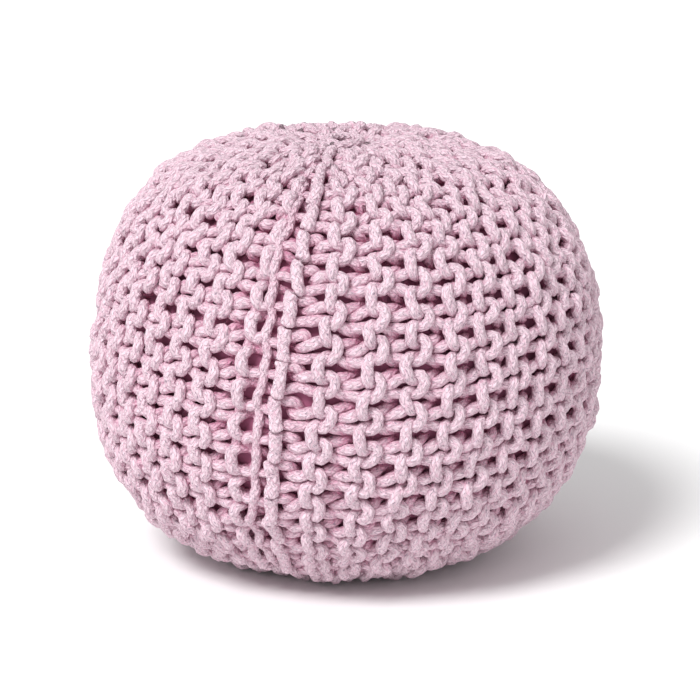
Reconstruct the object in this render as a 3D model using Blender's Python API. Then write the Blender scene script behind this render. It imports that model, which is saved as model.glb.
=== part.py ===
"""Knitted pouf: a thick cotton cord, knitted sideways in garter stitch and drawn in over a filled cushion.

The knitting runs round the pouf. Its rows lie along the meridians, each pair of rows making one ridge, and
short rows stop before the poles so that the band narrows there. A crocheted chain closes the band, and a
drawcord at each pole pulls the edge loops together. Metres, +Z up, standing on z = 0.
"""

import math

import bmesh
import bpy
import numpy as np

# Driving sizes
GIRTH_RADIUS = 0.253       # over the crests of the ridges at the widest place
EQUATOR_HEIGHT = 0.196     # of the widest place above the floor
CROWN_RISE = 0.2245        # from the widest place up to the crown
BELLY_DROP = 0.206         # from the widest place down to where the pole would hang, were there no floor
# Superellipse powers of the outline's radius and height: 2 is round, and more is flatter at that end.
CROWN_POWERS = (3.5, 1.97)
BELLY_POWERS = (2.8, 2.16)
GAP = 0.0003               # between pieces that touch

# Ridges of the knitting, counted to the right from the seam
RIDGES = 40
RIDGE_DEPTH = 0.011        # from crest to valley
CREST_ROUNDNESS = 0.7      # power of the sine across a ridge
WIDTH_SWING = 0.055        # share by which the ridges are wider on the far side from the seam
FIRST_RIDGE_EXTRA = 0.30   # share by which the first ridge is wider still
EXTRA_FADE = 1.8           # ridges in which that fades
LAST_RIDGE_WIDTH = 1.15    # of the ridge just before the seam, to the others
RIDGE_TWIST = math.radians(3.5)     # that a ridge leans, from the widest place down, and twice this up to the crown
# In each group of three ridges the outer two end in short rows, at these distances from the axis.
# Rows: place in the group, distance where the ridge has ended, distance where it is whole.
SHORT_ROWS = {
    0: (0.095, 0.165),
    2: (0.060, 0.125),
}
ENDED_WIDTH = 0.06
PRESSED_FROM = 0.100       # height below which the weight begins to flatten the ridges
PRESSED_FLAT = -0.004      # height of the free outline at which they are flat on the floor

# Seam: the channel between the first and the last ridge, and the chain of cord lying in it
SEAM_ANGLE = math.radians(-105.2)   # of its middle about +Z, from +X
SEAM_WIDTH = 0.98          # in ridge widths
SEAM_DEPTH = 0.013
SEAM_POINTS = (0.0, 0.08, 0.5, 0.92)    # across the seam, so that its channel has steep sides
CHAIN_WIDTH = 0.016        # two strands of cord, pulled together
CHAIN_THICKNESS = 0.011
CHAIN_START = 0.066        # distance from each pole, along the outline

# Sideways offsets of the stuffed shape
AXIS_LEAN = (
    # share of the height, offset along X
    (0.00, -0.0030),
    (0.25, -0.0030),
    (0.55, 0.0011),
    (0.85, -0.0003),
    (1.00, -0.0055),
)

# Where the drawcords gather the edge loops
PIT_DEPTH = 0.010
PIT_FLOOR = 0.027          # radius
PIT_RIM = 0.052            # radius
DRAWCORD_RING = 0.019      # radius of the ring that the drawcord is pulled into
DRAWCORD_DIAMETER = 0.008

# Mesh
POINTS_PER_RIDGE = 4
POLE_RINGS = (0.014, 0.027, 0.040, 0.052)   # distances of the first rings from a pole
EVEN_RINGS = 20
OUTLINE_SAMPLES = 600

COTTON_PINK = (0.70, 0.50, 0.57, 1.0)
CHAIN_PINK = (0.74, 0.55, 0.62, 1.0)
DRAWCORD_PINK = (0.62, 0.42, 0.49, 1.0)


def clear_scene():
    for existing in list(bpy.data.objects):
        bpy.data.objects.remove(existing, do_unlink=True)


def cotton(name, colour):
    material = bpy.data.materials.new(name)
    material.use_nodes = True
    shader = material.node_tree.nodes["Principled BSDF"]
    shader.inputs["Base Color"].default_value = colour
    shader.inputs["Roughness"].default_value = 0.9
    shader.inputs["Metallic"].default_value = 0.0
    material.diffuse_color = colour
    return material


def soft_step(value, low, high):
    """0 below low, 1 above high and a smooth rise between."""
    share = min(1.0, max(0.0, (value - low) / (high - low)))
    return share * share * (3 - 2 * share)


def free_outline():
    """Radius and height along the outline, pole to pole and from the top, with the distance walked."""
    turn = np.linspace(0, math.pi / 2, OUTLINE_SAMPLES)
    crown_radius = GIRTH_RADIUS * np.sin(turn) ** (2 / CROWN_POWERS[0])
    crown_height = EQUATOR_HEIGHT + CROWN_RISE * np.abs(np.cos(turn)) ** (2 / CROWN_POWERS[1])
    belly_radius = GIRTH_RADIUS * np.abs(np.cos(turn)) ** (2 / BELLY_POWERS[0])
    belly_height = EQUATOR_HEIGHT - BELLY_DROP * np.sin(turn) ** (2 / BELLY_POWERS[1])
    radius = np.concatenate([crown_radius, belly_radius[1:]])
    height = np.concatenate([crown_height, belly_height[1:]])
    radius[0] = 0.0
    radius[-1] = 0.0
    steps = np.hypot(np.diff(radius), np.diff(height))
    return radius, height, np.concatenate([[0.0], np.cumsum(steps)])


def ring_distances(length):
    """Distances along the outline at which the cover has a ring of points."""
    last = POLE_RINGS[-1]
    even = list(np.linspace(last, length - last, EVEN_RINGS + 2)[1:-1])
    far = [length - distance for distance in reversed(POLE_RINGS)]
    return [0.0, *POLE_RINGS, *even, *far, length]


def kept_share(ridge, radius):
    """1 where a ridge is whole and 0 where its short row has ended."""
    if ridge % 3 not in SHORT_ROWS:
        return 1.0
    ended, whole = SHORT_ROWS[ridge % 3]
    return soft_step(radius, ended, whole)


def ridge_widths(radius):
    """Widths of the ridges and then of the seam at this distance from the axis, in no unit."""
    widths = []
    for ridge in range(RIDGES):
        width = 1 - WIDTH_SWING * math.cos(2 * math.pi * ridge / RIDGES)
        width += FIRST_RIDGE_EXTRA * math.exp(-ridge / EXTRA_FADE)
        widths.append(width * (ENDED_WIDTH + (1 - ENDED_WIDTH) * kept_share(ridge, radius)))
    widths[-1] *= LAST_RIDGE_WIDTH
    widths.append(SEAM_WIDTH)
    return widths


def direction(place, radius, height):
    """Angle about +Z of a place round the pouf, counted in ridges from the seam."""
    ridge = min(int(place), RIDGES)
    widths = ridge_widths(radius)
    walked = sum(widths[:ridge]) + (place - ridge) * widths[ridge] + SEAM_WIDTH / 2
    level = (height - EQUATOR_HEIGHT) / CROWN_RISE
    twist = RIDGE_TWIST * (level + max(0.0, level) ** 2)
    return SEAM_ANGLE + twist + 2 * math.pi * walked / sum(widths)


def sunk_depth(place, radius, height):
    """How far the knitting lies below the outline at a place round the pouf."""
    ridge = int(place)
    across = place - ridge
    pressed = soft_step(height, PRESSED_FLAT, PRESSED_FROM)
    valley = RIDGE_DEPTH * pressed
    gathered = soft_step(radius, PIT_FLOOR, PIT_RIM)
    if ridge == RIDGES:
        return gathered * (SEAM_DEPTH if across > 0 else valley)
    crest = math.sin(math.pi * across) ** CREST_ROUNDNESS * kept_share(ridge, radius)
    return gathered * valley * (1 - crest)


def outward(radius, height):
    """The outline's normal, as its parts along the radius and along Z."""
    if height <= 0:
        return 0.0, -1.0
    above = height > EQUATOR_HEIGHT
    rise = CROWN_RISE if above else BELLY_DROP
    wide, tall = CROWN_POWERS if above else BELLY_POWERS
    across = wide * (radius / GIRTH_RADIUS) ** (wide - 1) / GIRTH_RADIUS
    along = tall * (abs(height - EQUATOR_HEIGHT) / rise) ** (tall - 1) / rise
    size = math.hypot(across, along)
    return across / size, (along if above else -along) / size


def lean(height):
    shares, offsets = zip(*AXIS_LEAN)
    return float(np.interp(height / (EQUATOR_HEIGHT + CROWN_RISE), shares, offsets))


def placed(place, radius, height, depth):
    """The point that lies depth under the outline, with the floor and the two pits pressed in."""
    across, along = outward(radius, height)
    reach = max(0.0, radius - depth * across)
    level = max(0.0, height) - depth * along
    pit = PIT_DEPTH * (1 - soft_step(radius, PIT_FLOOR, PIT_RIM))
    level += pit if height < EQUATOR_HEIGHT else -pit
    angle = direction(place, radius, height)
    return reach * math.cos(angle) + lean(level), reach * math.sin(angle), level


def make_object(name, mesh, material):
    mesh.name = name
    mesh.shade_smooth()
    mesh.materials.clear()
    mesh.materials.append(material)
    made = bpy.data.objects.new(name, mesh)
    bpy.context.collection.objects.link(made)
    return made


def knitted_cover(material):
    """The filled pouf as one closed body: a sphere's rings laid along the outline, its spokes along the ridges."""
    radius, height, walked = free_outline()
    rings = ring_distances(walked[-1])
    spokes = POINTS_PER_RIDGE * (RIDGES + 1)

    shape = bmesh.new()
    bmesh.ops.create_uvsphere(shape, u_segments=spokes, v_segments=len(rings) - 1, radius=1.0)
    for vertex in shape.verts:
        x, y, z = vertex.co
        ring = round((len(rings) - 1) * math.acos(max(-1.0, min(1.0, z))) / math.pi)
        spoke = round(spokes * math.atan2(y, x) / (2 * math.pi)) % spokes
        ridge, point = divmod(spoke, POINTS_PER_RIDGE)
        across = SEAM_POINTS[point] if ridge == RIDGES else point / POINTS_PER_RIDGE
        place = ridge + across
        here_radius = float(np.interp(rings[ring], walked, radius))
        here_height = float(np.interp(rings[ring], walked, height))
        depth = sunk_depth(place, here_radius, here_height)
        vertex.co = placed(place, here_radius, here_height, depth)
    bmesh.ops.recalc_face_normals(shape, faces=shape.faces)
    mesh = bpy.data.meshes.new("knitted_cover")
    shape.to_mesh(mesh)
    shape.free()
    return make_object("knitted_cover", mesh, material)


def chain_section():
    """The chain's oval section, with its width along X and its thickness along Y."""
    bpy.ops.curve.primitive_bezier_circle_add(radius=1.0)
    oval = bpy.context.object
    oval.name = "chain_section"
    oval.scale = (CHAIN_WIDTH / 2, CHAIN_THICKNESS / 2, 1)
    bpy.ops.object.transform_apply(location=False, rotation=False, scale=True)
    oval.data.resolution_u = 3
    oval.hide_render = True
    oval.display_type = "WIRE"
    return oval


def seam_chain(material):
    """The chain that closes the band, laid along the middle of the seam from one gathered end to the other."""
    radius, height, walked = free_outline()
    length = walked[-1]
    rings = [place for place in ring_distances(length) if CHAIN_START < place < length - CHAIN_START]
    halfway = [(first + second) / 2 for first, second in zip(rings, rings[1:])]
    distances = sorted([CHAIN_START, *rings, *halfway, length - CHAIN_START])
    depth = SEAM_DEPTH - GAP - CHAIN_THICKNESS / 2

    curve = bpy.data.curves.new("seam_chain", "CURVE")
    curve.dimensions = "3D"
    curve.bevel_mode = "OBJECT"
    curve.bevel_object = chain_section()
    curve.use_fill_caps = True
    spline = curve.splines.new("POLY")
    spline.points.add(len(distances) - 1)
    for point, distance in zip(spline.points, distances):
        here_radius = float(np.interp(distance, walked, radius))
        here_height = float(np.interp(distance, walked, height))
        point.co = (*placed(RIDGES + 0.5, here_radius, here_height, depth), 1.0)
    curve.materials.append(material)
    chain = bpy.data.objects.new("seam_chain", curve)
    bpy.context.collection.objects.link(chain)
    return chain


def drawcord(name, level, material):
    """The cord threaded through the edge loops, pulled into a small ring."""
    bpy.ops.mesh.primitive_torus_add(
        major_segments=40,
        minor_segments=12,
        major_radius=DRAWCORD_RING,
        minor_radius=DRAWCORD_DIAMETER / 2,
        location=(lean(level), 0, level),
    )
    ring = bpy.context.object
    ring.name = name
    ring.data.name = name
    ring.data.shade_smooth()
    ring.data.materials.append(material)
    return ring


def build():
    clear_scene()
    pouf = bpy.data.collections.new("knitted_pouf")
    bpy.context.scene.collection.children.link(pouf)
    bpy.context.view_layer.active_layer_collection = bpy.context.view_layer.layer_collection.children[pouf.name]

    knitted_cover(cotton("cotton_cord", COTTON_PINK))
    seam_chain(cotton("chain_cotton", CHAIN_PINK))
    tie_cotton = cotton("drawcord_cotton", DRAWCORD_PINK)
    above_pit = GAP + DRAWCORD_DIAMETER / 2
    drawcord("top_drawcord", EQUATOR_HEIGHT + CROWN_RISE - PIT_DEPTH + above_pit, tie_cotton)
    drawcord("base_drawcord", PIT_DEPTH - above_pit, tie_cotton)


build()
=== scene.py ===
"""The looks of the knitted pouf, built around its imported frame. Metres, +Z up, seen from the -Y side."""

import math

import bpy
import numpy as np
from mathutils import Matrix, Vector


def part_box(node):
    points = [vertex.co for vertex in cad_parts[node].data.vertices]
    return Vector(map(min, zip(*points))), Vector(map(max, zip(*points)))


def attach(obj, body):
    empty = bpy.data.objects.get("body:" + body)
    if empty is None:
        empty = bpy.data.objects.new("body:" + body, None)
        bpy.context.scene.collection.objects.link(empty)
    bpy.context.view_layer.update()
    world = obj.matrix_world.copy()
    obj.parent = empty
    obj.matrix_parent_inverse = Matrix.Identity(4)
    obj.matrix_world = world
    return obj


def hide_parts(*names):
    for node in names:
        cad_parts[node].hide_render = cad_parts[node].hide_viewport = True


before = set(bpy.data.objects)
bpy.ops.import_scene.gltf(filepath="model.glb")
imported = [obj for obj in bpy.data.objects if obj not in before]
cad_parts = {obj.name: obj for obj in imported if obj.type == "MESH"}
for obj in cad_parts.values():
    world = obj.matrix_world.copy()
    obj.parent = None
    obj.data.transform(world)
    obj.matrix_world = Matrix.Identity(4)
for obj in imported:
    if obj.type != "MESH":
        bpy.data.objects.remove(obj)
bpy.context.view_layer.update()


# -------------------------------------------------------------------------------------------------------
# The inner casing: a bag of plain rose cotton, sewn shut over the beads and wadding. It gives the
# pouf its round shape and shows only as the dark between the stitches; its rose is made darker than the
# cloth's own to paint in part of the shade there. All that is knitted over it follows its outline.

cover_low, cover_high = (np.array(corner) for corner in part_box("knitted_cover"))
COVER_HEIGHT = float(cover_high[2] - cover_low[2])
GIRTH_RADIUS = float(cover_high[1] - cover_low[1]) / 2      # over the crests of the ridges
EQUATOR_HEIGHT = 0.4666 * COVER_HEIGHT
CROWN_RISE = 0.5344 * COVER_HEIGHT
BELLY_DROP = 0.4904 * COVER_HEIGHT      # the floor cuts the last few millimetres off
CROWN_POWERS = (3.5, 1.97)              # of the outline's radius and height: 2 is round
BELLY_POWERS = (2.8, 2.16)
OUTLINE_POINTS = 500                    # for the crown, and again for the belly
PIT_DEPTH = 0.005                       # of the hollow where the ends are gathered
PIT_FLOOR = 0.027                       # the radius of its floor
PIT_RIM = 0.052                         # and of its rim
# The pouf sags a little: shares of the height, and how far to the right its axis lies there.
AXIS_LEAN = ((0.0, -0.003), (0.25, -0.003), (0.55, 0.0011), (0.85, -0.0003), (1.0, -0.0055))
CASING_DEPTH = 0.0175                   # under the crests
CASING_TURNS = 96
CASING_RINGS = 48
# painted shade: a darker rose than the cloth's own, standing in for part of the shade between the stitches
CASING_ROSE_AND_PAINTED_SHADE = (0.37, 0.115, 0.205)
CASING_MOTTLE = (0.7, 1.3)              # its darkest and its lightest patches, to the rose


def soft_step(value, low, high):
    """0 up to the low value and 1 from the high one, with a smooth rise between."""
    share = np.clip((np.asarray(value, float) - low) / (high - low), 0, 1)
    return share * share * (3 - 2 * share)


quarter = np.linspace(0, math.pi / 2, OUTLINE_POINTS)
crown_radius = GIRTH_RADIUS * np.sin(quarter) ** (2 / CROWN_POWERS[0])
crown_height = EQUATOR_HEIGHT + CROWN_RISE * np.abs(np.cos(quarter)) ** (2 / CROWN_POWERS[1])
belly_radius = GIRTH_RADIUS * np.abs(np.cos(quarter)) ** (2 / BELLY_POWERS[0])
belly_height = EQUATOR_HEIGHT - BELLY_DROP * np.sin(quarter) ** (2 / BELLY_POWERS[1])
outline_radius = np.concatenate([crown_radius, belly_radius[1:]])
outline_height = np.concatenate([crown_height, belly_height[1:]])
outline_radius[[0, -1]] = 0
outline_steps = np.hypot(np.diff(outline_radius), np.diff(outline_height))
outline_walk = np.concatenate([[0], np.cumsum(outline_steps)])
OUTLINE_LENGTH = float(outline_walk[-1])


def radius_at(distance):
    """The radius over the crests, at a distance walked down the outline from the crown."""
    return np.interp(distance, outline_walk, outline_radius)


def height_at(distance):
    return np.interp(distance, outline_walk, outline_height)


def under_crests(turn, distance, depth):
    """Points a depth under the crests, at an angle about the axis and a distance from the crown."""
    turn, distance = np.broadcast_arrays(np.asarray(turn, float), np.asarray(distance, float))
    radius = radius_at(distance)
    height = height_at(distance)
    above = height > EQUATOR_HEIGHT
    rise = np.where(above, CROWN_RISE, BELLY_DROP)
    wide = np.where(above, CROWN_POWERS[0], BELLY_POWERS[0])
    tall = np.where(above, CROWN_POWERS[1], BELLY_POWERS[1])
    sideways = wide * (radius / GIRTH_RADIUS) ** (wide - 1) / GIRTH_RADIUS
    upward = tall * (np.abs(height - EQUATOR_HEIGHT) / rise) ** (tall - 1) / rise
    size = np.hypot(sideways, upward)
    sideways = sideways / size
    upward = np.where(above, upward, -upward) / size
    on_floor = height <= 0
    sideways = np.where(on_floor, 0, sideways)
    upward = np.where(on_floor, -1, upward)
    reach = np.maximum(0, radius - depth * sideways)
    level = np.maximum(0, height) - depth * upward
    pit = PIT_DEPTH * (1 - soft_step(radius, PIT_FLOOR, PIT_RIM))
    level = level + np.where(above, -pit, pit)
    shares, offsets = zip(*AXIS_LEAN)
    lean = np.interp(level / COVER_HEIGHT, shares, offsets)
    return np.stack([reach * np.cos(turn) + lean, reach * np.sin(turn), level], axis=-1)


def grid_faces(rings, columns, closed):
    """The faces between points that lie in rings, one ring under the other, each joined up if closed."""
    faces = []
    for ring in range(rings - 1):
        upper, lower = ring * columns, (ring + 1) * columns
        for column in range(columns if closed else columns - 1):
            after = (column + 1) % columns
            faces.append((upper + column, lower + column, lower + after, upper + after))
    return faces


def mesh_piece(name, points, faces):
    mesh = bpy.data.meshes.new(name)
    mesh.from_pydata(points, [], faces)
    mesh.shade_smooth()
    piece = bpy.data.objects.new(name, mesh)
    bpy.context.scene.collection.objects.link(piece)
    return piece


def new_material(name, colour, roughness):
    """A material, with its node tree and its shader."""
    material = bpy.data.materials.new(name)
    material.use_nodes = True
    shader = material.node_tree.nodes["Principled BSDF"]
    shader.inputs["Base Color"].default_value = (*colour, 1)
    shader.inputs["Roughness"].default_value = roughness
    return material, material.node_tree, shader


def add(tree, kind, inputs=(), **settings):
    """A node with its settings, its inputs given by name or place as values or as sockets to link."""
    node = tree.nodes.new(kind)
    for key, value in settings.items():
        setattr(node, key, value)
    for key, value in dict(inputs).items():
        if isinstance(value, bpy.types.NodeSocket):
            tree.links.new(value, node.inputs[key])
        else:
            node.inputs[key].default_value = value
    return node


def noise(tree, place, scale, detail, seed=None):
    """The outputs of a noise texture, which has a fourth dimension where it is given a seed."""
    inputs = {"Vector": place, "Scale": scale, "Detail": detail}
    if seed is None:
        return add(tree, "ShaderNodeTexNoise", inputs).outputs
    return add(tree, "ShaderNodeTexNoise", inputs | {"W": seed}, noise_dimensions="4D").outputs


def colour_mix(tree, share, first, second):
    """A mix of two colours, each a value or a socket. The node repeats its names, so they go by place."""
    return add(tree, "ShaderNodeMix", {"Factor": share, 6: first, 7: second}, data_type="RGBA").outputs[2]


ring_places = np.linspace(0, OUTLINE_LENGTH, CASING_RINGS + 1)[1:-1]
turns = np.arange(CASING_TURNS) * 2 * math.pi / CASING_TURNS
casing_points = under_crests(turns[None, :], ring_places[:, None], CASING_DEPTH).reshape(-1, 3)
casing_poles = under_crests(0, np.array([0, OUTLINE_LENGTH]), CASING_DEPTH)
casing_faces = grid_faces(len(ring_places), CASING_TURNS, True)
crown_pole = len(casing_points)
base_pole = crown_pole + 1
last_ring = crown_pole - CASING_TURNS
for turn in range(CASING_TURNS):
    after = (turn + 1) % CASING_TURNS
    casing_faces.append((crown_pole, turn, after))
    casing_faces.append((base_pole, last_ring + after, last_ring + turn))
casing_points = np.concatenate([casing_points, casing_poles])
casing = mesh_piece("inner_casing", casing_points.tolist(), casing_faces)
casing_cloth, cloth_tree, cloth_shader = new_material("casing_cloth", CASING_ROSE_AND_PAINTED_SHADE, roughness=0.95)
cloth_place = add(cloth_tree, "ShaderNodeTexCoord").outputs["Object"]
cloth_mottle = noise(cloth_tree, cloth_place, scale=90.0, detail=4.0)["Fac"]
darkest, lightest = ((*(share * channel for channel in CASING_ROSE_AND_PAINTED_SHADE), 1) for share in CASING_MOTTLE)
cloth_colour = colour_mix(cloth_tree, cloth_mottle, darkest, lightest)
cloth_tree.links.new(cloth_colour, cloth_shader.inputs["Base Color"])
casing.data.materials.append(casing_cloth)
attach(casing, "root")


# -------------------------------------------------------------------------------------------------------
# The knitted cover: one long, soft cotton cord, knitted by hand on thick needles, in garter stitch and
# sideways, so that its ridges stand upright. Short rows, which turn back before the ends, make it round.

RIDGES = 40
WIDTH_SWING = 0.055             # share by which the ridges are wider on the far side from the seam
FIRST_RIDGES_WIDER = (0.30, 1.8)        # share of the first ridge, and the ridges in which it fades
LAST_RIDGE_WIDTH = 1.15         # of the ridge just before the seam, to the others
RIDGE_TWIST = math.radians(3.5)         # about the axis from the equator to the base; twice it to the crown
# For a ridge's place in its group of three: the radii where its short rows have ended and are whole.
SHORT_ROWS = {0: (0.095, 0.165), 2: (0.060, 0.125)}
ENDED_WIDTH = 0.06              # of a ridge whose rows have ended, to a whole one
SEAM_ANGLE = math.radians(-105.2)       # of the slot that is left for the seam, at the equator
SEAM_WIDTH = 0.98               # of the slot, to the ridges
SEAM_NARROWEST = 0.45           # of the slot near the poles, to the rest of it
SEAM_NARROWS = (0.06, 0.17)     # the radii where it is narrowest and where it is whole
SEAM_OPENING = 0.35             # share by which the seam's left side is pulled wider near the crown
SEAM_CLOSES = (0.22, 0.33)      # the distances from the crown between which that fades

CORD_RADIUS = 0.0055
CREST_LEVEL = 0.0138            # of the crests over the middle of the knitted cloth
STITCH = 0.0324                 # from one stitch to the next along a row
ROW_DROP = 0.0016               # by which each ridge's stitches sit lower than those on its left
ROW_ENDS = 0.037                # distance from the poles of the last stitches of the whole rows
FITTING = 0.07                  # distance over which the last stitches are squeezed or stretched to fit
CROWN_TIGHTNESS = 0.0035        # by which the stitches lie deeper where they are drawn together at the crown
CROWN_TIGHT = (0.05, 0.20)      # the distances from the crown between which that fades
STRETCH_FROM = 0.010            # from a ridge's middle, where its stitches begin to give with its width
CROWDED_HALF = 0.016            # half of a ridge's width, below which all of its stitches are squeezed
CROWDED_GIRTH = 0.3             # the power of that squeeze by which the cord is pulled thinner
NARROWEST_RADIUS = 0.02         # of the pouf, below which its stitches get no narrower

# The tables of stitches are drawn for stitches of this length, with their valleys this far from the middle
# of the ridge. They give the place along the row, across from the ridge's middle and out of the middle of
# the cloth, in mm, and the girth.
TABLE_STITCH = 0.034
TABLE_VALLEY = 0.021
# One stitch of the row that runs down the right side of a ridge: it shows as an upright bar on the left of
# the crest, goes under the loops beside it and across the valley, and hooks round the row behind.
LEFT_BAR = (
    (-17.0, -6.4, 9.6, 1.08),
    (-11.4, -5.5, 9.2, 1.08),
    (-7.4, -3.8, 7.2, 1.02),
    (-5.8, 0.8, 2.8, 0.94),
    (-6.4, 6.5, 0.6, 0.92),
    (-8.8, 12.0, 1.8, 0.98),
    (-10.8, 18.0, -0.8, 0.98),
    (-12.0, 24.5, -5.6, 0.94),
    (-8.5, 31.0, -7.4, 0.88),
    (1.0, 35.0, -8.0, 0.88),
    (10.5, 31.0, -7.4, 0.88),
    (13.0, 24.5, -5.0, 0.94),
    (10.2, 18.0, 0.8, 0.98),
    (7.2, 12.5, 3.6, 0.98),
    (5.4, 6.5, 1.2, 0.92),
    (4.8, -0.5, 2.6, 0.94),
    (5.8, -5.4, 7.0, 1.02),
    (9.8, -7.3, 9.2, 1.08),
)
# One stitch of the row on its left: it comes up from behind in the valley, crosses it, goes under the
# upright bars and shows as a round loop on the right of the crest.
RIGHT_LOOP = (
    (-11.5, -37.0, -8.4, 0.78),
    (-6.0, -34.5, -7.2, 0.78),
    (-2.4, -31.0, -4.5, 0.72),
    (-2.8, -26.5, 1.2, 0.84),
    (-4.6, -20.0, 4.4, 0.98),
    (-7.2, -13.0, 5.0, 1.03),
    (-8.2, -6.5, 2.2, 0.92),
    (-10.2, -0.5, 3.0, 0.94),
    (-10.4, 5.0, 6.6, 0.95),
    (-6.4, 8.8, 9.0, 0.99),
    (0.0, 8.8, 9.6, 0.98),
    (5.6, 6.6, 9.0, 1.00),
    (9.4, 2.4, 6.0, 0.98),
    (8.8, -2.0, 2.4, 0.94),
    (7.2, -7.0, 2.0, 0.92),
    (7.0, -13.0, 4.8, 1.03),
    (5.4, -20.0, 4.0, 0.96),
    (4.0, -26.5, 0.8, 0.80),
    (3.2, -31.0, -4.5, 0.72),
    (8.0, -34.5, -7.2, 0.78),
    (14.5, -37.0, -8.4, 0.78),
)
# The first ridge's left row reaches over to the seam and is held by its chain.
FIRST_LOOP = (
    (-6.0, -29.0, -6.5, 0.9),
    (-4.2, -26.0, -3.0, 0.9),
    *RIGHT_LOOP[4:14],
    (6.6, -7.5, 1.0, 0.98),
    (6.2, -13.0, 2.8, 1.0),
    (6.8, -20.0, 3.2, 1.0),
    (7.6, -28.0, 3.0, 1.0),
    (8.2, -34.0, 1.0, 1.0),
    (9.0, -38.0, -2.0, 1.0),
    (15.0, -39.0, -6.0, 0.9),
    (22.0, -35.0, -8.5, 0.9),
)
# The last ridge's bars lie nearer to the seam and go down sooner, and its loops turn back under them.
BARS_NEARER = 6.0
BARS_LOWER = 5.0
BARS_LOWER_FROM = -3.0          # across, as in the table
LOOPS_HIGHEST = 1.0
LOOPS_LOW_FROM = -9.0
LAST_BAR = tuple(
    (along, across + BARS_NEARER, out - BARS_LOWER * (across > BARS_LOWER_FROM), girth)
    for along, across, out, girth in LEFT_BAR
)
LAST_LOOP = tuple(
    (along, min(across, 0.0), out if across < LOOPS_LOW_FROM else min(out, LOOPS_HIGHEST), girth)
    for along, across, out, girth in RIGHT_LOOP
)


def kept_share(ridge, radius):
    """How much of a ridge's width is left at each radius: its short rows end before the poles."""
    if ridge % 3 not in SHORT_ROWS:
        return np.ones_like(radius)
    ended, whole = SHORT_ROWS[ridge % 3]
    return soft_step(radius, ended, whole)


def ridge_layout(distance):
    """The angle of every ridge's middle, and half of its width in radians, at distances from the crown."""
    radius = radius_at(distance)
    widths = []
    for ridge in range(RIDGES):
        width = 1 - WIDTH_SWING * math.cos(2 * math.pi * ridge / RIDGES)
        width += FIRST_RIDGES_WIDER[0] * math.exp(-ridge / FIRST_RIDGES_WIDER[1])
        widths.append(width * (ENDED_WIDTH + (1 - ENDED_WIDTH) * kept_share(ridge, radius)))
    widths[-1] = widths[-1] * LAST_RIDGE_WIDTH
    slot = SEAM_NARROWEST + (1 - SEAM_NARROWEST) * soft_step(radius, *SEAM_NARROWS)
    widths = np.array([*widths, SEAM_WIDTH * slot])
    unit = 2 * math.pi / widths.sum(axis=0)
    middles = (np.cumsum(widths, axis=0) - widths / 2 + widths[-1] / 2) * unit
    level = (height_at(distance) - EQUATOR_HEIGHT) / CROWN_RISE
    twist = RIDGE_TWIST * (level + np.maximum(0, level) ** 2)
    return SEAM_ANGLE + twist + middles, widths * unit / 2


# The chart is the smooth surface at the level of the crests, with the angle about the axis and the distance
# from the crown as its map. The rows are drawn flat on that map, and bent round the pouf by the node tree.
CHART_OVERLAP = 1.0             # radians on either side of the seam, so that no row crosses the chart's edge
CHART_FROM = SEAM_ANGLE - CHART_OVERLAP
CHART_TURN = 2 * math.pi + 2 * CHART_OVERLAP
CHART_COLUMNS = 300
CHART_RINGS = 160
CHART_INSIDE = 0.01             # depth of the points that its outward directions are taken from
chart_x, chart_y = np.meshgrid(np.linspace(0, 1, CHART_COLUMNS), np.linspace(0, 1, CHART_RINGS))
chart_turn = CHART_FROM + CHART_TURN * chart_x
chart_points = under_crests(chart_turn, OUTLINE_LENGTH * chart_y, 0).reshape(-1, 3)
inner_points = under_crests(chart_turn, OUTLINE_LENGTH * chart_y, CHART_INSIDE).reshape(-1, 3)
chart = mesh_piece("chart", chart_points.tolist(), grid_faces(CHART_RINGS, CHART_COLUMNS, False))
chart_corners = np.zeros(len(chart.data.loops), int)
chart.data.loops.foreach_get("vertex_index", chart_corners)
chart_uv = np.stack([chart_x.ravel(), chart_y.ravel()], axis=-1)[chart_corners]
chart.data.uv_layers.new(name="chart_map").data.foreach_set("uv", chart_uv.ravel())
outward = chart_points - inner_points
outward /= np.linalg.norm(outward, axis=1, keepdims=True)
chart.data.attributes.new("outward", "FLOAT_VECTOR", "POINT").data.foreach_set("vector", outward.ravel())


def crown_drop(distance):
    return CROWN_TIGHTNESS * (1 - soft_step(distance, *CROWN_TIGHT))


def row_span(ridge):
    """The distances from the crown of the first and the last stitch of a ridge, or of the seam."""
    if ridge == RIDGES or ridge % 3 not in SHORT_ROWS:
        return ROW_ENDS, OUTLINE_LENGTH - ROW_ENDS
    turn_radius = sum(SHORT_ROWS[ridge % 3]) / 2
    start = float(np.interp(turn_radius, crown_radius, outline_walk[:len(crown_radius)]))
    end = float(np.interp(-turn_radius, -belly_radius, outline_walk[len(crown_radius) - 1:]))
    return start, end


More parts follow.
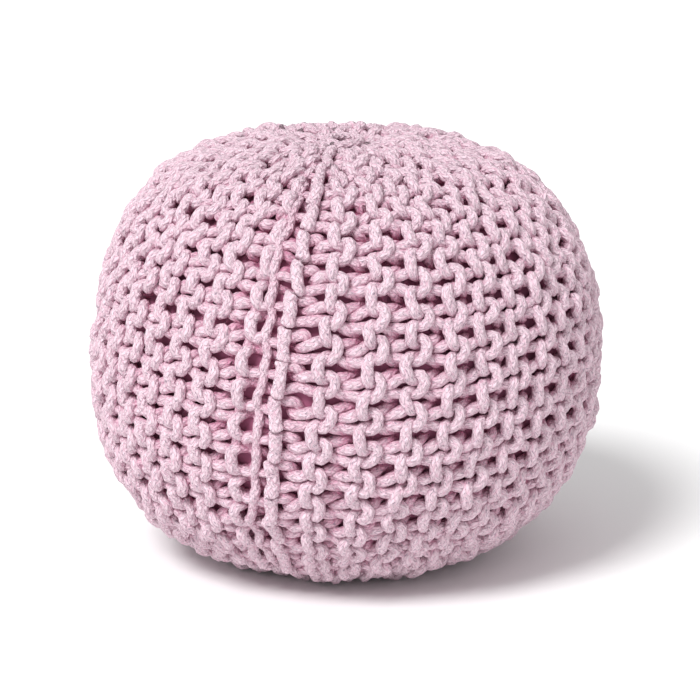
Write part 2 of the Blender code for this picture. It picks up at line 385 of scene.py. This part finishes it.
def row_points(table, ridge, distances, side):
    """The chart points and girths of one row beside a ridge, through its stitches at the given distances."""
    start, end = row_span(ridge)
    stitch = np.array(table)
    stitch[:, :3] /= 1000       # millimetres to metres
    points = []
    for middle in distances:
        along = middle + stitch[:, 0] * STITCH / TABLE_STITCH
        along = along + (start - distances[0]) * np.exp((start - along) / FITTING)
        along = along + (end - distances[-1]) * np.exp((along - end) / FITTING)
        middles, halves = ridge_layout(along)
        radius = np.maximum(NARROWEST_RADIUS, radius_at(along))
        half = halves[ridge] * radius
        give = np.minimum(1, half / CROWDED_HALF)
        near = side * stitch[:, 1]
        if ridge == RIDGES:
            opening = SEAM_OPENING * (1 - soft_step(along, *SEAM_CLOSES))
            near = np.where(near < 0, near * (1 + opening), near)
        fixed = np.minimum(near, STRETCH_FROM) * give
        stretch = (half - STRETCH_FROM * give) / (TABLE_VALLEY - STRETCH_FROM)
        stretched = np.maximum(0, np.maximum(0, near - STRETCH_FROM) * stretch)
        turn = middles[ridge] + side * (fixed + stretched) / radius
        points.append(np.stack([
            (turn - CHART_FROM) / CHART_TURN,
            along / OUTLINE_LENGTH,
            stitch[:, 2] - CREST_LEVEL - crown_drop(along),
            stitch[:, 3] * give ** CROWDED_GIRTH,
        ], axis=-1))
    return np.concatenate(points)


def stitch_middles(ridge, rise=0.0):
    """The distances from the crown of all the stitches of a ridge, or of the seam."""
    start, end = row_span(ridge)
    drop = (ridge % RIDGES) * ROW_DROP - rise
    return np.arange(round((start - drop) / STITCH), round((end - drop) / STITCH) + 1) * STITCH + drop


def ridge_cord(ridge):
    """The closed cord of one ridge: down its right row and back up its left row."""
    middles = stitch_middles(ridge)
    down = row_points(LAST_BAR if ridge == RIDGES - 1 else LEFT_BAR, ridge, middles, 1)
    left_row = {0: FIRST_LOOP, RIDGES - 1: LAST_LOOP}.get(ridge, RIGHT_LOOP)
    up = row_points(left_row, ridge, middles, -1)
    return np.concatenate([down, up[::-1]])


ROW_STRAY_SCALE = 30.0          # of the noise that moves the rows, and how fine its detail is
ROW_STRAY_DETAIL = 2.0
CROWN_LEVELS = (0.28, 0.40)     # heights between which the rows become as uneven as at the crown
FLOOR_GAP = 1.2                 # cord radii between the floor and the middle of the lowest cords
PINCH_SCALE = 75.0              # of the noise that makes the cord thicker and thinner
PINCH_DETAIL = 1.0
PINCH_NOISE = (0.3, 0.7)
PINCH_GIRTHS = (0.88, 1.12)
CURVE_STEPS = 5                 # between two points of a row, while it is still a curve


def new_tree(name, kind, inputs, outputs):
    """A node group with named inputs and outputs, and the sockets that its inputs come from."""
    tree = bpy.data.node_groups.new(name, kind)
    for way, sockets in (("INPUT", inputs), ("OUTPUT", outputs)):
        for socket, socket_kind in sockets.items():
            tree.interface.new_socket(socket, in_out=way, socket_type="NodeSocket" + socket_kind)
    return tree, add(tree, "NodeGroupInput").outputs


def maths(tree, operation, *values):
    """The result of an operation on values or sockets."""
    return add(tree, "ShaderNodeMath", dict(enumerate(values)), operation=operation).outputs[0]


def vector_maths(tree, operation, first, second):
    """The same for vectors. SCALE takes a number as its second value, and DOT_PRODUCT gives one."""
    inputs = {0: first, "Scale" if operation == "SCALE" else 1: second}
    outputs = add(tree, "ShaderNodeVectorMath", inputs, operation=operation).outputs
    return outputs["Value" if operation == "DOT_PRODUCT" else "Vector"]


def vector_of(tree, *values):
    return add(tree, "ShaderNodeCombineXYZ", dict(enumerate(values))).outputs[0]


def parts_of(tree, vector):
    return add(tree, "ShaderNodeSeparateXYZ", {0: vector}).outputs


def remap(tree, value, from_range, to_range):
    """A value moved from one range to another, and kept within it."""
    return add(tree, "ShaderNodeMapRange", {
        "Value": value, "From Min": from_range[0], "From Max": from_range[1],
        "To Min": to_range[0], "To Max": to_range[1]}).outputs[0]


def read_attribute(tree, name, kind):
    return add(tree, "GeometryNodeInputNamedAttribute", {"Name": name}, data_type=kind).outputs[0]


def write_attribute(tree, geometry, name, kind, value):
    return add(tree, "GeometryNodeStoreNamedAttribute", {
        "Geometry": geometry, "Name": name, "Value": value}, data_type=kind, domain="POINT").outputs[0]


def capture(tree, geometry, kind, values):
    """The outputs of a node that keeps named values, all of one kind, as they are at this place."""
    node = add(tree, "GeometryNodeCaptureAttribute", {"Geometry": geometry})
    for name, value in values.items():
        node.capture_items.new(kind, name)
        tree.links.new(value, node.inputs[name])
    return node.outputs


def cord_tree():
    """Bends rows drawn on the chart round the pouf, and gives them the thickness of the cord."""
    sizes = ("Cord Radius", "Step", "Unevenness", "Crown Unevenness", "Seed")
    inputs = {"Geometry": "Geometry", "Chart": "Object"} | dict.fromkeys(sizes, "Float")
    inputs |= {"Sides": "Int", "Material": "Material"}
    tree, given = new_tree("cord_rows", "GeometryNodeTree", inputs, {"Geometry": "Geometry"})

    # Each point goes to its place on the pouf, out or in from the level of the crests.
    place = add(tree, "GeometryNodeInputPosition").outputs[0]
    across, down, rise = parts_of(tree, place)
    surface = add(tree, "GeometryNodeObjectInfo", {"Object": given["Chart"]}).outputs["Geometry"]
    vector = "FLOAT_VECTOR"
    chart_map = read_attribute(tree, "chart_map", vector)
    on_map = {"Mesh": surface, "UV Map": chart_map, "Sample UV": vector_of(tree, across, down)}
    on_crests, outward = (
        add(tree, "GeometryNodeSampleUVSurface", on_map | {"Value": value}, data_type=vector).outputs[0]
        for value in (place, read_attribute(tree, "outward", vector))
    )
    on_pouf = vector_maths(tree, "ADD", on_crests, vector_maths(tree, "SCALE", outward, rise))

    # The stitches are pulled a little out of line, most of all at the crown, and none goes into the floor.
    stray = noise(tree, on_pouf, ROW_STRAY_SCALE, ROW_STRAY_DETAIL, given["Seed"])["Color"]
    stray = vector_maths(tree, "SUBTRACT", stray, (0.5, 0.5, 0.5))
    uneven = (given["Unevenness"], given["Crown Unevenness"])
    uneven = remap(tree, parts_of(tree, on_pouf)[2], CROWN_LEVELS, uneven)
    on_pouf = vector_maths(tree, "ADD", on_pouf, vector_maths(tree, "SCALE", stray, uneven))
    right, back, level = parts_of(tree, on_pouf)
    lowest = maths(tree, "MULTIPLY", given["Cord Radius"], FLOOR_GAP)
    on_pouf = vector_of(tree, right, back, maths(tree, "MAXIMUM", level, lowest))

    # The cord is a little thicker and thinner along its length, as the yarn is.
    pinch = noise(tree, on_pouf, PINCH_SCALE, PINCH_DETAIL, given["Seed"])["Fac"]
    pinch = remap(tree, pinch, PINCH_NOISE, PINCH_GIRTHS)
    girth = maths(tree, "MULTIPLY", read_attribute(tree, "girth", "FLOAT"), pinch)
    kept_girth = capture(tree, given["Geometry"], "FLOAT", {"Girth": girth})
    kept_outward = capture(tree, kept_girth["Geometry"], "VECTOR", {"Outward": outward})
    rows = add(tree, "GeometryNodeSetPosition", {
        "Geometry": kept_outward["Geometry"], "Position": on_pouf}).outputs[0]
    rows = add(tree, "GeometryNodeMeshToCurve", {"Mesh": rows}).outputs[0]
    rows = add(tree, "GeometryNodeSetCurveRadius", {"Curve": rows, "Radius": kept_girth["Girth"]}).outputs[0]
    rows = add(tree, "GeometryNodeCurveSplineType", {"Curve": rows}, spline_type="CATMULL_ROM").outputs[0]
    rows = add(tree, "GeometryNodeSetSplineResolution", {
        "Geometry": rows, "Resolution": CURVE_STEPS}).outputs[0]
    rows = add(tree, "GeometryNodeResampleCurve", {
        "Curve": rows, "Length": given["Step"]}, mode="LENGTH").outputs[0]

    # Along its length and round its girth, the cord keeps what its braid and its painted shade are worked
    # out from.
    walked = add(tree, "GeometryNodeSplineParameter").outputs["Length"]
    out = read_attribute(tree, "out", "FLOAT")
    kept_row = capture(tree, rows, "FLOAT", {"Walked": walked, "Out": out})
    kept_middle = capture(tree, kept_row["Geometry"], "VECTOR", {"Middle": place})
    circle = add(tree, "GeometryNodeCurvePrimitiveCircle", {
        "Resolution": given["Sides"], "Radius": given["Cord Radius"]}).outputs[0]
    turn = add(tree, "GeometryNodeSplineParameter").outputs["Factor"]
    kept_circle = capture(tree, circle, "FLOAT", {"Turn": turn})
    cord = add(tree, "GeometryNodeCurveToMesh", {
        "Curve": kept_middle["Geometry"], "Profile Curve": kept_circle["Geometry"],
        "Scale": add(tree, "GeometryNodeInputRadius").outputs[0], "Fill Caps": True}).outputs[0]
    angle = maths(tree, "MULTIPLY", kept_circle["Turn"], 2 * math.pi)
    strand = vector_of(tree, maths(tree, "COSINE", angle), maths(tree, "SINE", angle), kept_row["Walked"])
    cord = write_attribute(tree, cord, "strand", vector, strand)
    from_middle = vector_maths(tree, "SUBTRACT", place, kept_middle["Middle"])
    over_middle = vector_maths(tree, "DOT_PRODUCT", from_middle, kept_outward["Outward"])
    # The level in the cloth, from which the material paints shade deep between the stitches.
    cord = write_attribute(tree, cord, "sunk", "FLOAT", maths(tree, "ADD", kept_row["Out"], over_middle))
    cord = add(tree, "GeometryNodeSetShadeSmooth", {"Geometry": cord}).outputs[0]
    cord = add(tree, "GeometryNodeRealizeInstances", {"Geometry": cord}).outputs[0]
    cord = add(tree, "GeometryNodeSetMaterial", {
        "Geometry": cord, "Material": given["Material"]}).outputs[0]
    add(tree, "NodeGroupOutput", {0: cord})
    return tree


def knit(name, tree, cords, closed, settings):
    """A piece of the given cords, each a list of chart points, made by the tree and left as a plain mesh."""
    points = np.concatenate(cords)
    edges = []
    start = 0
    for cord in cords:
        run = np.arange(start, start + len(cord))
        edges += list(zip(run[:-1].tolist(), run[1:].tolist()))
        if closed:
            edges.append((int(run[-1]), int(run[0])))
        start += len(cord)
    drawn = bpy.data.meshes.new(name + "_rows")
    drawn.from_pydata(points[:, :3].tolist(), edges, [])
    drawn.attributes.new("girth", "FLOAT", "POINT").data.foreach_set("value", points[:, 3])
    level_in_cloth = points[:, 2] + crown_drop(points[:, 1] * OUTLINE_LENGTH)
    drawn.attributes.new("out", "FLOAT", "POINT").data.foreach_set("value", level_in_cloth)
    rows = bpy.data.objects.new(name + "_rows", drawn)
    bpy.context.scene.collection.objects.link(rows)
    nodes = rows.modifiers.new("cord_rows", "NODES")
    nodes.node_group = tree
    sockets = {item.name: item.identifier for item in tree.interface.items_tree if item.in_out == "INPUT"}
    for key, value in settings.items():
        nodes[sockets[key]] = value
    made = bpy.data.meshes.new_from_object(rows.evaluated_get(bpy.context.evaluated_depsgraph_get()))
    made.name = name
    bpy.data.objects.remove(rows)
    piece = bpy.data.objects.new(name, made)
    bpy.context.scene.collection.objects.link(piece)
    return piece


# The cord is braided from soft cotton strands, spun from pale pink fibres with a few grey ones among them.
CORD_PINK = (0.81, 0.625, 0.70)
CORD_MOTTLE_AND_PAINTED_SHADE = (0.60, 0.20, 0.335)        # deeper rose, for random patches and for the painted shade between the strands and deep between the stitches
FLECK_GREY = (0.25, 0.17, 0.24)
STRANDS_ROUND = 6.0
STRAND_RUN = 0.0085             # length of one crossing of the braid
STRAND_STRAY = 5.0              # radians by which the crossings come sooner and later
CROSSING_EDGE = 0.12            # half the width, in the braid's waves, over which one strand gives way
FIBRE_SCALE = 620.0
FIBRE_RELIEF = 0.35             # of the fibres, to that of the strands
BRAID_RELIEF = 0.0011
FLECK_SLANT = 1.2               # waves of the noise of the flecks, round the cord and along it
FLECK_ALONG = 300.0
# Each of these takes one range to another.
GROOVE_PAINTED_SHADE = ((0.0, 0.3), (0.34, 0.0))            # the height in the braid to the share of painted shade in its grooves
VALLEY_PAINTED_SHADE = ((-0.0170, -0.0035), (0.95, 0.0))    # the level in the cloth to the share of painted shade deep between the stitches
FLECK_SHARE = ((0.57, 0.63), (0.0, 0.75))           # the noise to the share of the grey
ROUGHNESS = ((0.0, 1.0), (0.82, 0.98))
MOTTLE_SHADE = 0.9              # share by which the shade comes and goes in patches


def braided_cotton():
    """The colour, with its painted shade, the roughness and the relief of the braid.

    Strand holds the cosine and the sine of the angle round the cord, and the length along it.
    """
    tree, given = new_tree(
        "braided_cotton", "ShaderNodeTree",
        {"Strand": "Vector", "Place": "Vector", "Sunk": "Float"},
        {"Base Color": "Color", "Roughness": "Float", "Bump Height": "Float"})

    def sums(operation, *values):
        return maths(tree, operation, *values)

    def either(share, first, second):
        return add(tree, "ShaderNodeMix", {"Factor": share, 2: first, 3: second}).outputs[0]

    # Strands wind round the cord to the left and to the right, and take turns to lie on top.
    cosine, sine, length = parts_of(tree, given["Strand"])
    stray = noise(tree, given["Place"], scale=130.0, detail=2.0)["Fac"]
    round_cord = sums("MULTIPLY", sums("ARCTAN2", sine, cosine), STRANDS_ROUND)
    stray = sums("MULTIPLY", stray, STRAND_STRAY)
    along_cord = sums("MULTIPLY_ADD", length, 2 * math.pi / STRAND_RUN, stray)
    right_strands = sums("ADD", round_cord, along_cord)
    left_strands = sums("SUBTRACT", round_cord, along_cord)
    crossing = sums("ADD", sums("COSINE", round_cord), sums("COSINE", along_cord))
    right_on_top = remap(tree, crossing, (-CROSSING_EDGE, CROSSING_EDGE), (0.0, 1.0))
    strands = either(right_on_top, sums("COSINE", left_strands), sums("COSINE", right_strands))
    braid = sums("MULTIPLY_ADD", strands, 0.5, 0.5)
    fibres = noise(tree, given["Place"], FIBRE_SCALE, detail=3.0)["Fac"]

    # The pink is deeper in random patches, and painted shade darkens it in the grooves of the braid and deep
    # between the stitches.
    mottle = noise(tree, given["Place"], scale=210.0, detail=3.0)["Fac"]
    # painted shade in the grooves of the braid, with random patches of deeper pink added to it
    shade = remap(tree, braid, *GROOVE_PAINTED_SHADE)
    shade = sums("MULTIPLY_ADD", sums("SUBTRACT", mottle, 0.5), MOTTLE_SHADE, shade)
    # painted shade deep between the stitches, from the level in the cloth
    shade = sums("ADD", sums("MAXIMUM", 0.0, shade), remap(tree, given["Sunk"], *VALLEY_PAINTED_SHADE))
    mottled_pink_with_painted_shade = colour_mix(tree, shade, (*CORD_PINK, 1), (*CORD_MOTTLE_AND_PAINTED_SHADE, 1))

    # The grey fibres show as short strokes that lie along the strand on top.
    slant = sums("MULTIPLY", either(right_on_top, left_strands, right_strands), FLECK_SLANT)
    stroke = vector_of(tree, slant, sums("MULTIPLY", length, FLECK_ALONG), right_on_top)
    fleck = noise(tree, stroke, scale=1.0, detail=1.0)["Fac"]
    colour = colour_mix(tree, remap(tree, fleck, *FLECK_SHARE), mottled_pink_with_painted_shade, (*FLECK_GREY, 1))
    add(tree, "NodeGroupOutput", {
        "Base Color": colour,
        "Roughness": remap(tree, fibres, *ROUGHNESS),
        "Bump Height": sums("MULTIPLY_ADD", fibres, FIBRE_RELIEF, braid)})
    return tree


cotton_cord, cord_nodes, cord_shader = new_material("cotton_cord", CORD_PINK, roughness=0.9)
braid = add(cord_nodes, "ShaderNodeGroup", {
    "Strand": add(cord_nodes, "ShaderNodeAttribute", attribute_name="strand").outputs["Vector"],
    "Place": add(cord_nodes, "ShaderNodeTexCoord").outputs["Object"],
    "Sunk": add(cord_nodes, "ShaderNodeAttribute", attribute_name="sunk").outputs["Fac"],
}, node_tree=braided_cotton()).outputs
cord_relief = add(cord_nodes, "ShaderNodeBump", {
    "Strength": 1.0, "Distance": BRAID_RELIEF, "Height": braid["Bump Height"]}).outputs[0]
cord_nodes.links.new(braid["Base Color"], cord_shader.inputs["Base Color"])
cord_nodes.links.new(braid["Roughness"], cord_shader.inputs["Roughness"])
cord_nodes.links.new(cord_relief, cord_shader.inputs["Normal"])

GORES = 5
knitting_tree = cord_tree()
cord_settings = {
    "Chart": chart,
    "Cord Radius": CORD_RADIUS,
    "Step": 0.0042,
    "Unevenness": 0.018,
    "Crown Unevenness": 0.024,
    "Seed": 3.0,
    "Sides": 8,
    "Material": cotton_cord,
}
for gore in range(GORES):
    first = gore * RIDGES // GORES
    last = (gore + 1) * RIDGES // GORES
    cords = [ridge_cord(ridge) for ridge in range(first, last)]
    piece = knit(f"knitted_gore_{gore + 1}", knitting_tree, cords, True, cord_settings)
    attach(piece, "root")
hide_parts("knitted_cover")


# -------------------------------------------------------------------------------------------------------
# The seam: a chain of slip stitches, worked with the same cord over the two open edges of the cover, from
# one end to the other. It lies as a thick column of bars with a thinner, looped column on its left.

SEAM_STITCH_RISE = 0.004        # of the chain's bars over the loops of the first ridge
SEAM_STEP = 0.0010              # fine enough to show where each bar goes under the next
# Each is along the seam, across from its middle and out of the middle of the cloth, in mm, and the girth.
THICK_COLUMN = (
    (-14.6, -1.0, 8.6, 1.24),
    (-13.6, -1.0, 8.7, 1.26),
    (-11.6, -1.0, 8.8, 1.22),
    (-7.0, -0.8, 8.9, 1.15),
    (0.0, 0.0, 9.2, 1.13),
    (7.0, 0.6, 9.5, 1.17),
    (11.6, 0.9, 9.7, 1.24),
    (13.8, 1.0, 9.8, 1.28),
    (15.0, 1.0, 9.8, 1.27),
    (15.8, 0.9, 9.7, 1.05),
    (16.3, 0.7, 9.5, 0.55),
    (16.9, 0.2, 9.2, 0.32),
    (17.5, -0.4, 8.9, 0.32),
    (18.1, -0.8, 8.7, 0.60),
    (18.6, -0.9, 8.6, 1.08),
)
THIN_COLUMN = (
    (-17.0, -18.6, 5.6, 0.86),
    (-10.0, -19.6, 6.2, 0.92),
    (-3.0, -19.8, 5.2, 0.86),
    (4.0, -19.0, 4.4, 0.80),
    (11.0, -18.0, 5.2, 0.86),
)
# The knobs tie the thick column to the thin one, and the edge loops tie it to the first ridge.
KNOBS = (
    (-1.5, -5.0, 2.6, 0.85),
    (-2.5, -11.0, 4.0, 0.88),
    (-3.4, -17.6, 1.6, 0.85),
    (-5.0, -23.6, 4.6, 0.92),
    (-4.2, -28.6, 4.4, 0.96),
    (-0.4, -29.6, -0.5, 0.88),
    (4.0, -24.0, -3.0, 0.85),
    (8.0, -17.0, -2.0, 0.85),
    (11.6, -11.0, -1.6, 0.85),
    (14.6, -5.0, -4.0, 0.85),
    (20.0, -2.0, -6.5, 0.85),
    (27.0, -2.0, -3.5, 0.85),
)
EDGE_LOOPS = (
    (-11.2, 4.0, 0.6, 1.0),
    (-11.4, 11.0, 2.4, 1.04),
    (-10.8, 17.0, 2.2, 1.04),
    (-7.6, 22.0, -0.6, 0.98),
    (-1.0, 24.0, -5.0, 0.95),
    (5.0, 17.0, -7.0, 0.95),
    (13.0, 8.0, -7.0, 0.95),
    (19.0, 3.0, -4.5, 0.9),
)
seam_middles = stitch_middles(RIDGES, SEAM_STITCH_RISE)
seam_cords = [
    row_points(column, RIDGES, seam_middles, 1)
    for column in (THICK_COLUMN, THIN_COLUMN, KNOBS, EDGE_LOOPS)
]
seam = knit("sewn_seam", knitting_tree, seam_cords, False, cord_settings | {"Step": SEAM_STEP})
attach(seam, "root")
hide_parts("seam_chain")


# -------------------------------------------------------------------------------------------------------
# The drawcords: the same cord, threaded through the ends of the rows at the crown and at the base, pulled
# tight into a small ring of two turns, which cross once, and knotted off inside.

DRAWCORD_PLACE = 0.0165         # of the middle of its two turns, from the pole
DRAWCORD_SPREAD = 0.0045        # of each turn from that middle
DRAWCORD_RISE = -0.0030         # over the floor of the gathered pit
DRAWCORD_CROSSING = 0.003       # of one turn over the other
DRAWCORD_GIRTH = 0.78
DRAWCORD_UNEVENNESS = 0.004
DRAWCORD_TURNS = 2
DRAWCORD_POINTS = 90
drawcord_turn = np.linspace(0, 2 * math.pi * DRAWCORD_TURNS, DRAWCORD_POINTS, endpoint=False)
drawcord_swing = drawcord_turn / DRAWCORD_TURNS
drawcord_settings = cord_settings | {
    "Unevenness": DRAWCORD_UNEVENNESS, "Crown Unevenness": DRAWCORD_UNEVENNESS}
for end in ("top", "base"):
    place = DRAWCORD_PLACE + DRAWCORD_SPREAD * np.cos(drawcord_swing)
    ring = np.stack([
        (drawcord_turn % (2 * math.pi) + SEAM_ANGLE - CHART_FROM) / CHART_TURN,
        (place if end == "top" else OUTLINE_LENGTH - place) / OUTLINE_LENGTH,
        DRAWCORD_RISE + DRAWCORD_CROSSING * np.sin(drawcord_swing),
        np.full_like(drawcord_turn, DRAWCORD_GIRTH),
    ], axis=-1)
    drawcord = knit(f"gathering_cord_{end}", knitting_tree, [ring], True, drawcord_settings)
    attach(drawcord, "root")
    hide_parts(f"{end}_drawcord")

bpy.data.objects.remove(chart)


# -------------------------------------------------------------------------------------------------------
# The floor, the light and the camera. None of them belongs to the pouf. It stands on a pale floor in an
# even white light, with a large soft lamp over the viewer's left shoulder.

FLOOR_SIZE = 40.0
FLOOR_WHITE = (0.95, 0.95, 0.95)
bpy.ops.mesh.primitive_plane_add(size=FLOOR_SIZE, location=(0, 0, 0))
floor = bpy.context.object
floor.name = "floor"
floor_paint = new_material("pale_floor", FLOOR_WHITE, roughness=0.9)[0]
floor.data.materials.append(floor_paint)

AMBIENT_STRENGTH = 0.63
world = bpy.data.worlds.new("studio")
bpy.context.scene.world = world
bpy.context.scene.view_settings.view_transform = "Standard"
world.use_nodes = True
world.node_tree.nodes["Background"].inputs["Color"].default_value = (1, 1, 1, 1)
world.node_tree.nodes["Background"].inputs["Strength"].default_value = AMBIENT_STRENGTH

LAMP_FROM_LEFT = math.radians(38)
LAMP_HEIGHT = math.radians(50)
LAMP_WIDTH = math.radians(22)
LAMP_STRENGTH = 2.75
lamp = bpy.data.lights.new("key_light", "SUN")
lamp.energy = LAMP_STRENGTH
lamp.angle = LAMP_WIDTH
light = bpy.data.objects.new("key_light", lamp)
bpy.context.scene.collection.objects.link(light)
light.rotation_euler = (math.pi / 2 - LAMP_HEIGHT, 0, -LAMP_FROM_LEFT)

CAMERA_DISTANCE = 2.98
CAMERA_TILT = math.radians(15)
CAMERA_LENS = 154.3
CAMERA_SHIFT = (0.0052, 0.0093)
camera_data = bpy.data.cameras.new("camera")
camera_data.lens = CAMERA_LENS
camera_data.shift_x, camera_data.shift_y = CAMERA_SHIFT
camera = bpy.data.objects.new("camera", camera_data)
bpy.context.scene.collection.objects.link(camera)
camera.location = (
    0,
    -CAMERA_DISTANCE * math.cos(CAMERA_TILT),
    EQUATOR_HEIGHT + CAMERA_DISTANCE * math.sin(CAMERA_TILT),
)
camera.rotation_euler = (math.pi / 2 - CAMERA_TILT, 0, 0)
bpy.context.scene.camera = camera
